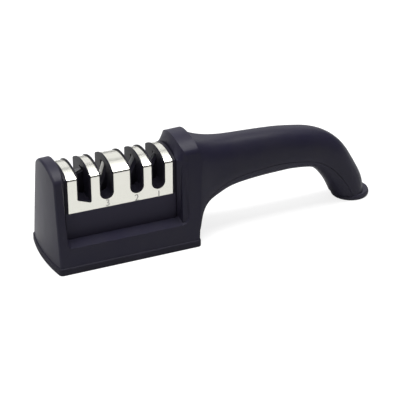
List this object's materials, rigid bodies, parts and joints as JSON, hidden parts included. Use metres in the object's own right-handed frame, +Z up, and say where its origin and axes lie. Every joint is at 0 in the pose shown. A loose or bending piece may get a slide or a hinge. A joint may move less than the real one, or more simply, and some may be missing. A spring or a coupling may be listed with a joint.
{
  "type": "pull through knife sharpener",
  "caption": "Hand-held pull-through sharpener: black housing and curved handle, lift-out head with a steel cover, three knife slots and one scissor slot.",
  "frame": {"origin": "on the table plane, under the middle of the base's flat underside", "axes": "+X along the sharpener from the housing towards the handle's foot, +Y towards the back (away from the face with the numbers), +Z up"},
  "size_m": [0.2203, 0.0524, 0.0656],
  "materials": {
    "black_plastic": "satin moulded plastic, nearly black",
    "cover_steel": "bright rolled stainless sheet",
    "black_rubber": "matt soft rubber",
    "screw_steel": "zinc-plated steel",
    "carbide": "ground tungsten carbide",
    "diamond_coat": "steel rod with a fine diamond coating",
    "white_ceramic": "matt white ceramic",
    "grey_stone": "matt grey ceramic"
  },
  "bodies": {
    "housing": {"base_pad": "black_rubber", "base_plate": "black_plastic", "base_screws": "screw_steel", "main_housing": "black_plastic", "handle_under_cover": "black_plastic", "handle_screws": "screw_steel", "tail_foot": "black_rubber"},
    "head": {"head_frame": "black_plastic", "cover_plate": "cover_steel", "head_bottom_plate": "black_plastic", "head_screws": "screw_steel", "coarse_holder": "black_plastic", "diamond_holder": "black_plastic", "fine_holder": "black_plastic", "scissor_holder": "black_plastic", "scissor_stone": "grey_stone", "carbide_blade_front": "carbide", "carbide_blade_rear": "carbide", "diamond_rod_front": "diamond_coat", "diamond_rod_rear": "diamond_coat", "ceramic_rod_front": "white_ceramic", "ceramic_rod_rear": "white_ceramic"}
  },
  "joints": [
    {"name": "head_lift", "type": "slide", "parent": "housing", "child": "head", "axis": [0, 0, 1], "range_m": [0, 0.06]}
  ]
}
